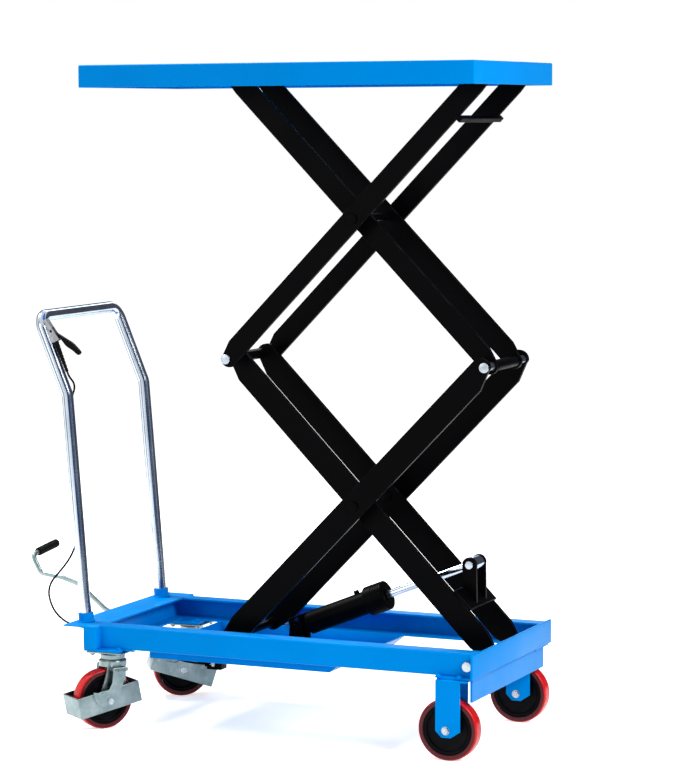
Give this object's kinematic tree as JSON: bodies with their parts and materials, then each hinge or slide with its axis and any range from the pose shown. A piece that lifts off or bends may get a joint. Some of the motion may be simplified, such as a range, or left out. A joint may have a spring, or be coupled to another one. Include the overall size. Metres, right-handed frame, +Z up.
{
  "type": "hydraulic lift table",
  "caption": "Wheeled hydraulic lift table: a flat deck on a double scissor over a frame with a push handle, foot pump, fixed front wheels and swivelling rear casters.",
  "frame": {"origin": "middle of the underside of the whole object's box, on the floor", "axes": "+Z up, +X from the push handle towards the fixed wheels, +Y to the left across the table"},
  "size_m": [1.31, 0.6142, 1.6004],
  "materials": {
    "blue_paint": "semi-gloss blue",
    "black_paint": "satin black",
    "chrome": "polished",
    "zinc": "zinc plated",
    "bright_steel": "bright steel",
    "red_tread": "smooth red tread",
    "black_plastic": "moulded",
    "black_rubber": "matt",
    "grey_metal": "matt grey"
  },
  "bodies": {
    "base": {"base_frame": "blue_paint", "base_tray": "blue_paint", "handle_tube": "chrome", "lever_clamp": "grey_metal", "cable_boot": "black_plastic", "release_cable": "black_rubber", "pedal_shaft": "bright_steel", "pump_body": "black_paint", "pressure_pipe": "bright_steel", "cylinder_bracket": "black_paint", "cylinder_tail_pin": "bright_steel", "base_pivot_shaft": "bright_steel", "swivel_plate_right": "zinc", "swivel_plate_left": "zinc", "front_fork_right": "blue_paint", "front_fork_left": "blue_paint", "front_axle_bolt_right": "bright_steel", "front_axle_bolt_left": "bright_steel"},
    "lower_inner": {"lower_inner_arms": "black_paint", "arm_bracket": "black_paint", "cylinder_rod_pin": "bright_steel"},
    "lower_outer": {"lower_outer_arms": "black_paint", "lower_centre_pin_right": "black_paint", "lower_centre_pin_left": "black_paint", "front_joint_shaft": "bright_steel"},
    "upper_outer": {"upper_outer_arms": "black_paint", "rear_joint_shaft": "bright_steel", "upper_centre_shaft": "black_paint"},
    "upper_inner": {"upper_inner_arms": "black_paint"},
    "table": {"table_deck": "blue_paint", "table_channel_right": "blue_paint", "table_channel_left": "blue_paint", "table_pivot_shaft": "bright_steel"},
    "cylinder_rod": {"cylinder_rod": "chrome"},
    "cylinder_barrel": {"cylinder_barrel": "black_paint"},
    "pedal": {"pedal_lever": "zinc", "pedal_grip": "black_rubber"},
    "push_rod": {"push_rod": "zinc"},
    "pump_plunger": {"pump_plunger": "bright_steel"},
    "release_lever": {"release_lever": "black_plastic"},
    "valve_arm": {"release_valve_arm": "zinc"},
    "base_roller_right": {"base_roller_right": "bright_steel"},
    "table_roller_right": {"table_roller_right": "bright_steel"},
    "front_wheel_right": {"front_wheel_core_right": "black_plastic", "front_tyre_right": "red_tread"},
    "swivel_fork_right": {"swivel_fork_right": "zinc", "rear_axle_bolt_right": "bright_steel"},
    "rear_wheel_right": {"rear_wheel_core_right": "black_plastic", "rear_tyre_right": "red_tread"},
    "brake_frame_right": {"brake_frame_right": "zinc"},
    "base_roller_left": {"base_roller_left": "bright_steel"},
    "table_roller_left": {"table_roller_left": "bright_steel"},
    "front_wheel_left": {"front_wheel_core_left": "black_plastic", "front_tyre_left": "red_tread"},
    "swivel_fork_left": {"swivel_fork_left": "zinc", "rear_axle_bolt_left": "bright_steel"},
    "rear_wheel_left": {"rear_wheel_core_left": "black_plastic", "rear_tyre_left": "red_tread"},
    "brake_frame_left": {"brake_frame_left": "zinc"}
  },
  "joints": [
    {"name": "lift", "type": "hinge", "parent": "base", "child": "lower_inner", "pos_m": [0.62845, 0.0243, 0.2208], "axis": [0, 1, 0], "range_deg": [-39.98, 0]},
    {"name": "lower_cross", "type": "hinge", "parent": "lower_inner", "child": "lower_outer", "pos_m": [0.2981, 0.0243, 0.55933], "axis": [0, 1, 0], "range_deg": [0, 80]},
    {"name": "rear_joint", "type": "hinge", "parent": "lower_inner", "child": "upper_outer", "pos_m": [-0.03226, 0.0243, 0.89786], "axis": [0, 1, 0], "range_deg": [0, 80]},
    {"name": "upper_cross", "type": "hinge", "parent": "upper_outer", "child": "upper_inner", "pos_m": [0.2981, 0.0243, 1.23639], "axis": [0, 1, 0], "range_deg": [-80, 0]},
    {"name": "table_pivot", "type": "hinge", "parent": "upper_outer", "child": "table", "pos_m": [0.62845, 0.0243, 1.57492], "axis": [0, 1, 0], "range_deg": [-40, 0]},
    {"name": "cylinder_rod_pivot", "type": "hinge", "parent": "lower_inner", "child": "cylinder_rod", "pos_m": [0.55311, 0.0243, 0.42114], "axis": [0, 1, 0], "range_deg": [0, 45.1]},
    {"name": "cylinder_stroke", "type": "slide", "parent": "cylinder_rod", "child": "cylinder_barrel", "axis": [0.9276, 0, 0.3736], "range_m": [0, 0.142]},
    {"name": "pedal_hinge", "type": "hinge", "parent": "base", "child": "pedal", "pos_m": [-0.39155, 0.0243, 0.222], "axis": [0, 1, 0], "range_deg": [-25, 0], "stiffness_Nm_per_rad": 6, "springref_deg": 28.65},
    {"name": "push_rod_pin", "type": "hinge", "parent": "pedal", "child": "push_rod", "pos_m": [-0.40405, 0.0243, 0.15109], "axis": [0, 1, 0], "range_deg": [0, 25.05]},
    {"name": "plunger_stroke", "type": "slide", "parent": "base", "child": "pump_plunger", "axis": [1, 0, 0], "range_m": [0, 0.0312]},
    {"name": "release_lever_hinge", "type": "hinge", "parent": "base", "child": "release_lever", "pos_m": [-0.46783, -0.1757, 0.9586], "axis": [0, 1, 0], "range_deg": [0, 15], "stiffness_Nm_per_rad": 0.5, "springref_deg": -28.65},
    {"name": "valve_arm_hinge", "type": "hinge", "parent": "base", "child": "valve_arm", "pos_m": [-0.13175, 0.0121, 0.15509], "axis": [0, 1, 0], "range_deg": [0, 15.05]},
    {"name": "base_roller_spin_right", "type": "hinge", "parent": "lower_outer", "child": "base_roller_right", "pos_m": [-0.03226, 0.0243, 0.2208], "axis": [0, 1, 0], "continuous": true},
    {"name": "table_roller_spin_right", "type": "hinge", "parent": "upper_inner", "child": "table_roller_right", "pos_m": [-0.03226, 0.0243, 1.57492], "axis": [0, 1, 0], "continuous": true},
    {"name": "front_wheel_spin_right", "type": "hinge", "parent": "base", "child": "front_wheel_right", "pos_m": [0.58245, -0.2077, 0.0725], "axis": [0, 1, 0], "continuous": true},
    {"name": "caster_swivel_right", "type": "hinge", "parent": "base", "child": "swivel_fork_right", "pos_m": [-0.30355, -0.1897, 0], "axis": [0, 0, 1], "continuous": true},
    {"name": "rear_wheel_spin_right", "type": "hinge", "parent": "swivel_fork_right", "child": "rear_wheel_right", "pos_m": [-0.32, -0.21235, 0.0725], "axis": [-0.809, 0.5878, 0], "continuous": true},
    {"name": "brake_tilt_right", "type": "hinge", "parent": "swivel_fork_right", "child": "brake_frame_right", "pos_m": [-0.32, -0.21235, 0.0725], "axis": [-0.809, 0.5878, 0], "range_deg": [-13, 35]},
    {"name": "base_roller_spin_left", "type": "hinge", "parent": "lower_outer", "child": "base_roller_left", "pos_m": [-0.03226, 0.0243, 0.2208], "axis": [0, 1, 0], "continuous": true},
    {"name": "table_roller_spin_left", "type": "hinge", "parent": "upper_inner", "child": "table_roller_left", "pos_m": [-0.03226, 0.0243, 1.57492], "axis": [0, 1, 0], "continuous": true},
    {"name": "front_wheel_spin_left", "type": "hinge", "parent": "base", "child": "front_wheel_left", "pos_m": [0.58245, 0.2563, 0.0725], "axis": [0, 1, 0], "continuous": true},
    {"name": "caster_swivel_left", "type": "hinge", "parent": "base", "child": "swivel_fork_left", "pos_m": [-0.30355, 0.2383, 0], "axis": [0, 0, 1], "continuous": true},
    {"name": "rear_wheel_spin_left", "type": "hinge", "parent": "swivel_fork_left", "child": "rear_wheel_left", "pos_m": [-0.32648, 0.22224, 0.0725], "axis": [-0.5736, 0.8192, 0], "continuous": true},
    {"name": "brake_tilt_left", "type": "hinge", "parent": "swivel_fork_left", "child": "brake_frame_left", "pos_m": [-0.32648, 0.22224, 0.0725], "axis": [-0.5736, 0.8192, 0], "range_deg": [-42, 6]}
  ],
  "couplings": [
    {"joint": "lower_cross", "follows": "lift", "ratio": -2},
    {"joint": "rear_joint", "follows": "lift", "ratio": -2},
    {"joint": "upper_cross", "follows": "lift", "ratio": 2},
    {"joint": "table_pivot", "follows": "lift", "ratio": 1},
    {"joint": "cylinder_rod_pivot", "follows": "lift", "ratio": -1.1274},
    {"joint": "cylinder_stroke", "follows": "lift", "m_per_rad": -0.2029},
    {"joint": "push_rod_pin", "follows": "pedal_hinge", "ratio": -1},
    {"joint": "plunger_stroke", "follows": "pedal_hinge", "m_per_rad": -0.0714},
    {"joint": "valve_arm_hinge", "follows": "release_lever_hinge", "ratio": 1}
  ]
}
